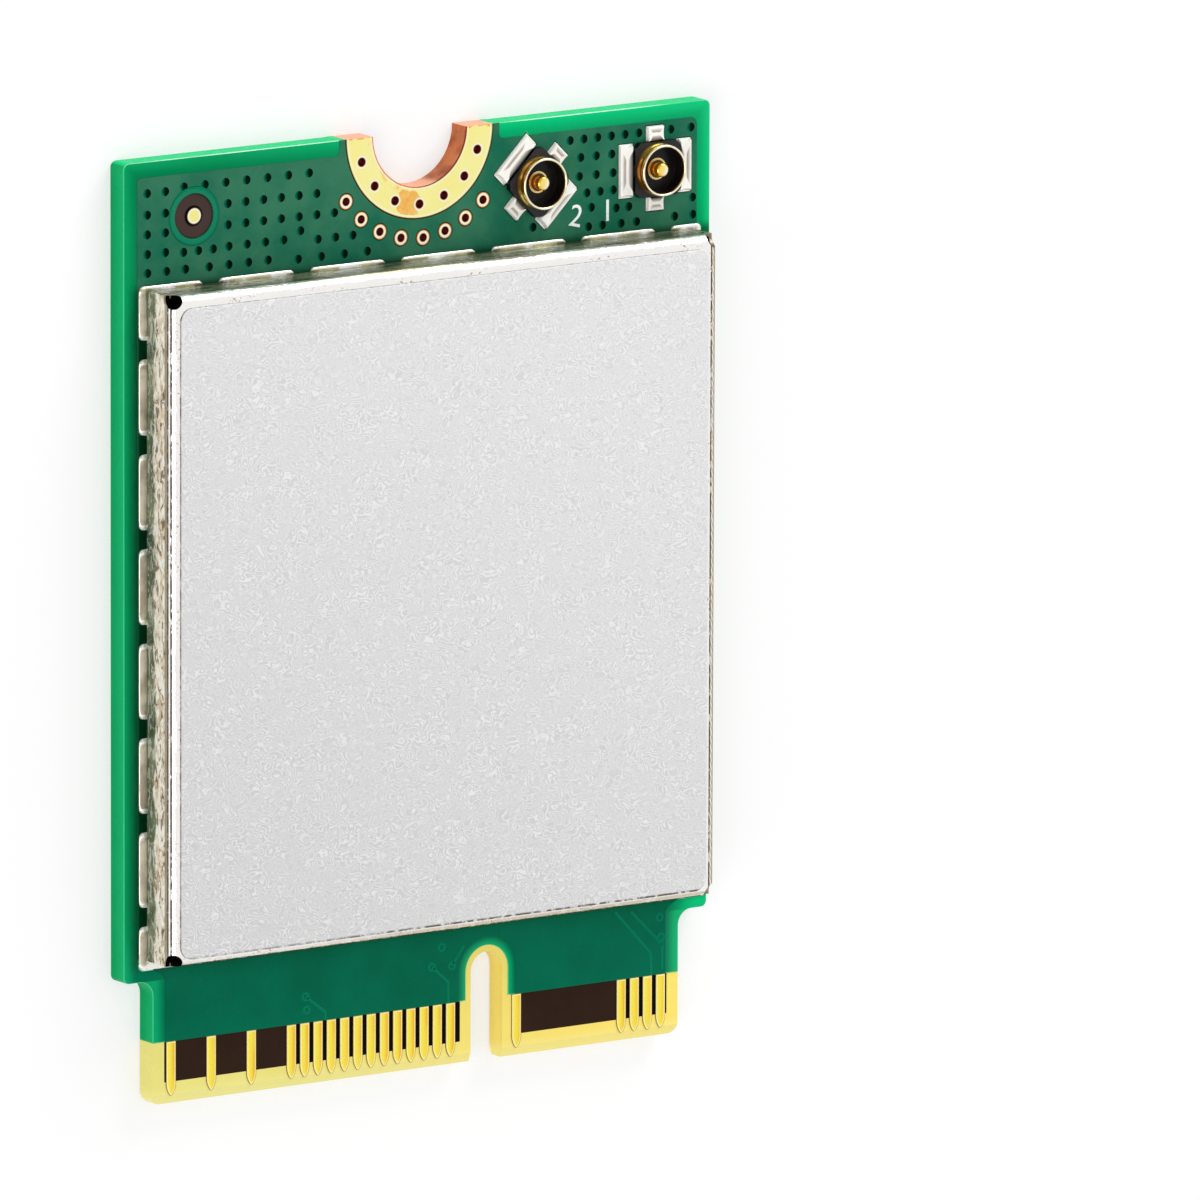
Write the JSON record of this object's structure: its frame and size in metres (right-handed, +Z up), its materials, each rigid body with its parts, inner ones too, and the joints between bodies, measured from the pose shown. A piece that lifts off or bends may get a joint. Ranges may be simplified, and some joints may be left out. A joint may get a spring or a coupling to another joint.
{
  "type": "wifi module",
  "caption": "Wireless network card: short plug-in circuit card with edge contacts, a plated half-round screw notch, a folded shield can and antenna sockets.",
  "frame": {"origin": "under the middle of the card, on the plane of its lowest face", "axes": "+X across the card towards the side with the antenna sockets, +Y along the card from the contact edge to the screw notch, +Z up from the underside to the side with the parts"},
  "size_m": [0.022, 0.03, 0.0023],
  "materials": {
    "board_edge": "bare woven glass laminate, satin",
    "green_mask": "thin green solder mask, glossy",
    "gilt_land": "pale immersion gold, soft satin",
    "contact_gold": "bright gold plating",
    "solder": "reflowed tin solder, shiny",
    "nickel_sheet": "nickel silver sheet, tinned, uneven shine",
    "label_film": "blank silver grey film, matt",
    "socket_black": "black moulded insulator, satin",
    "socket_gold": "bright gold plating",
    "mould_black": "black chip moulding, matt",
    "ceramic": "fired ceramic, matt",
    "ferrite": "pressed ferrite powder, matt",
    "cap_body": "tan ceramic with tinned ends"
  },
  "bodies": {
    "root": {"laminate": "board_edge", "top_mask": "green_mask", "bottom_mask": "green_mask", "screw_land": "gilt_land", "eyelets": "gilt_land", "alignment_mark": "gilt_land", "top_contacts": "contact_gold", "bottom_contacts": "contact_gold", "shield_solder": "solder", "shield_can": "nickel_sheet", "blank_label": "label_film", "socket_lands": "solder", "main_socket_body": "socket_black", "main_socket_shell": "socket_gold", "main_socket_pin": "socket_gold", "aux_socket_body": "socket_black", "aux_socket_shell": "socket_gold", "aux_socket_pin": "socket_gold", "part_lands": "solder", "radio_chip": "mould_black", "front_end_chips": "mould_black", "diplexers": "ceramic", "crystal": "ceramic", "memory_chip": "mould_black", "power_chip": "mould_black", "power_coils": "ferrite", "capacitors": "cap_body", "resistors": "mould_black"}
  },
  "joints": []
}
